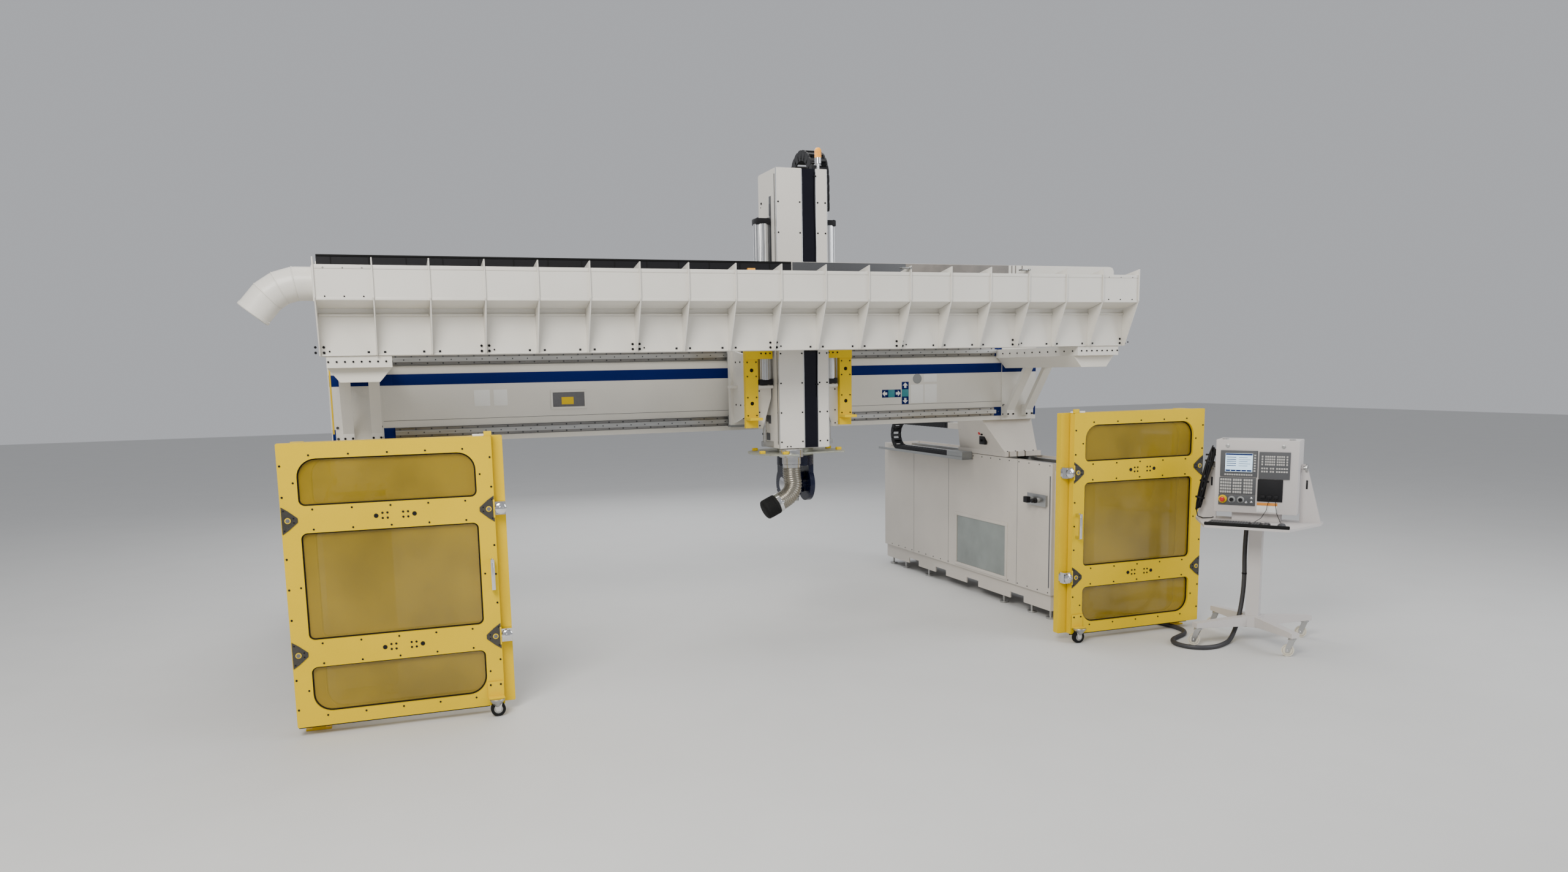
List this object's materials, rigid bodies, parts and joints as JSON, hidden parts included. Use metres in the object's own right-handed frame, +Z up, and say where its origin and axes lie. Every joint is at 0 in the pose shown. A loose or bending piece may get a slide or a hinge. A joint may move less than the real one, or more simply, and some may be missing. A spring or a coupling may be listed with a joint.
{
  "type": "cnc router",
  "caption": "Moving-bridge five-axis CNC router with an overhead dust trough, sliding guard doors and a wheeled control console.",
  "frame": {"origin": "middle of the bounding box footprint, on the floor", "axes": "+X along the bridge, +Y to the back of the machine, +Z up"},
  "size_m": [8.1168, 5.205, 4.1898],
  "materials": {
    "white_paint": "satin powder coat",
    "console_paint": "fine textured coat",
    "grey_paint": "satin",
    "yellow_paint": "gloss enamel",
    "navy_paint": "gloss",
    "steel": "brushed",
    "cast_iron": "satin",
    "aluminium": "anodised",
    "chrome": "polished",
    "hose_metal": "spiral wound",
    "rubber": "matt",
    "black_plastic": "matt",
    "dark_gloss": "gloss",
    "window": "tinted",
    "beacon": "gloss",
    "red_plastic": "gloss",
    "fork_grey": "zinc",
    "caster_tread": "polyurethane"
  },
  "bodies": {
    "bases": {"bases": "white_paint", "base_windows": "window", "y_rails": "steel", "levelling_feet": "steel", "service_boxes": "grey_paint", "y_chain": "black_plastic", "door_posts": "white_paint", "left_rear_leaf": "yellow_paint", "right_rear_leaf": "yellow_paint", "console_box": "console_paint", "console_stand": "console_paint", "console_tray": "console_paint", "control_panels": "grey_paint", "keyboard": "black_plastic", "conduit": "black_plastic"},
    "left_door": {"left_front_leaf": "yellow_paint", "left_door_fittings": "chrome"},
    "left_door_wheel": {"left_door_wheel": "rubber"},
    "right_door": {"right_front_leaf": "yellow_paint", "right_door_fittings": "chrome"},
    "right_door_wheel": {"right_door_wheel": "rubber"},
    "bridge": {"bridge_beam": "white_paint", "bridge_end_plates": "white_paint", "rail_strips": "steel", "x_rails": "steel", "saddles": "white_paint", "y_drive": "grey_paint", "x_chain": "black_plastic", "trough": "white_paint", "trough_ribs": "white_paint", "slot_belt": "rubber", "dust_elbow": "white_paint", "trough_brackets": "white_paint"},
    "carriage": {"carriage_plate": "white_paint", "x_drive": "grey_paint", "guard_bars": "yellow_paint", "counterbalance_cylinders": "aluminium"},
    "ram": {"ram_column": "cast_iron", "ram_covers": "white_paint", "ram_strip": "dark_gloss", "cylinder_rods": "steel", "beacon": "beacon", "z_chain": "black_plastic"},
    "rotary_head": {"dust_disc": "steel", "head_fork": "navy_paint", "dust_hose": "hose_metal", "dust_boot": "rubber"},
    "spindle": {"spindle_unit": "navy_paint"},
    "tool": {"tool_holder": "steel"},
    "estop": {"estop_button": "red_plastic"},
    "feed_knob": {"feed_knob": "black_plastic"},
    "spindle_knob": {"spindle_knob": "black_plastic"},
    "console_caster_1": {"console_fork_1": "fork_grey"},
    "console_wheel_1": {"console_wheel_1": "caster_tread"},
    "console_caster_2": {"console_fork_2": "fork_grey"},
    "console_wheel_2": {"console_wheel_2": "caster_tread"},
    "console_caster_3": {"console_fork_3": "fork_grey"},
    "console_wheel_3": {"console_wheel_3": "caster_tread"},
    "console_caster_4": {"console_fork_4": "fork_grey"},
    "console_wheel_4": {"console_wheel_4": "caster_tread"}
  },
  "joints": [
    {"name": "bridge_y", "type": "slide", "parent": "bases", "child": "bridge", "axis": [0, 1, 0], "range_m": [-0.3, 1.2], "deforming": ["y_chain"]},
    {"name": "carriage_x", "type": "slide", "parent": "bridge", "child": "carriage", "axis": [1, 0, 0], "range_m": [-2.69, 1.78], "deforming": ["x_chain"]},
    {"name": "ram_z", "type": "slide", "parent": "carriage", "child": "ram", "axis": [0, 0, 1], "range_m": [-1, 0.06], "deforming": ["z_chain"]},
    {"name": "head_turn", "type": "hinge", "parent": "ram", "child": "rotary_head", "pos_m": [0.06551, -0.45855, 1.65], "axis": [0, 0, 1], "range_deg": [-200, 200]},
    {"name": "head_tilt", "type": "hinge", "parent": "rotary_head", "child": "spindle", "pos_m": [0.06551, -0.45855, 1.37], "axis": [1, 0, 0], "range_deg": [-10, 95]},
    {"name": "spindle_spin", "type": "hinge", "parent": "spindle", "child": "tool", "pos_m": [0.06551, -0.45855, 1.25], "axis": [0, 0, 1], "continuous": true},
    {"name": "left_door_slide", "type": "slide", "parent": "bases", "child": "left_door", "axis": [1, 0, 0], "range_m": [0, 1.2]},
    {"name": "left_door_wheel_spin", "type": "hinge", "parent": "left_door", "child": "left_door_wheel", "pos_m": [-2.60449, -1.55055, 0.05], "axis": [0, 1, 0], "continuous": true},
    {"name": "right_door_slide", "type": "slide", "parent": "bases", "child": "right_door", "axis": [-1, 0, 0], "range_m": [0, 1.2]},
    {"name": "right_door_wheel_spin", "type": "hinge", "parent": "right_door", "child": "right_door_wheel", "pos_m": [2.19151, -1.51255, 0.05], "axis": [0, -1, 0], "continuous": true},
    {"name": "estop_press", "type": "slide", "parent": "bases", "child": "estop", "axis": [0.807, 0.5906, 0], "range_m": [0, 0.006], "stiffness_N_per_m": 1500},
    {"name": "feed_knob_turn", "type": "hinge", "parent": "bases", "child": "feed_knob", "pos_m": [3.29263, -2.01263, 1.207], "axis": [-0.807, -0.5906, 0], "range_deg": [-150, 150]},
    {"name": "spindle_knob_turn", "type": "hinge", "parent": "bases", "child": "spindle_knob", "pos_m": [3.33279, -2.06751, 1.207], "axis": [-0.807, -0.5906, 0], "range_deg": [-150, 150]},
    {"name": "console_swivel_1", "type": "hinge", "parent": "bases", "child": "console_caster_1", "pos_m": [3.0304, -1.98205, 0.14], "axis": [0, 0, 1], "continuous": true},
    {"name": "console_roll_1", "type": "hinge", "parent": "console_caster_1", "child": "console_wheel_1", "pos_m": [3.01268, -1.95785, 0.047], "axis": [0.807, 0.5906, 0], "continuous": true},
    {"name": "console_swivel_2", "type": "hinge", "parent": "bases", "child": "console_caster_2", "pos_m": [3.44802, -2.55266, 0.14], "axis": [0, 0, 1], "continuous": true},
    {"name": "console_roll_2", "type": "hinge", "parent": "console_caster_2", "child": "console_wheel_2", "pos_m": [3.4303, -2.52845, 0.047], "axis": [0.807, 0.5906, 0], "continuous": true},
    {"name": "console_swivel_3", "type": "hinge", "parent": "bases", "child": "console_caster_3", "pos_m": [4.01863, -2.13504, 0.14], "axis": [0, 0, 1], "continuous": true},
    {"name": "console_roll_3", "type": "hinge", "parent": "console_caster_3", "child": "console_wheel_3", "pos_m": [4.00091, -2.11083, 0.047], "axis": [0.807, 0.5906, 0], "continuous": true},
    {"name": "console_swivel_4", "type": "hinge", "parent": "bases", "child": "console_caster_4", "pos_m": [3.601, -1.56443, 0.14], "axis": [0, 0, 1], "continuous": true},
    {"name": "console_roll_4", "type": "hinge", "parent": "console_caster_4", "child": "console_wheel_4", "pos_m": [3.58329, -1.54022, 0.047], "axis": [0.807, 0.5906, 0], "continuous": true}
  ],
  "couplings": [
    {"joint": "left_door_wheel_spin", "follows": "left_door_slide", "rad_per_m": 20},
    {"joint": "right_door_wheel_spin", "follows": "right_door_slide", "rad_per_m": 20}
  ]
}
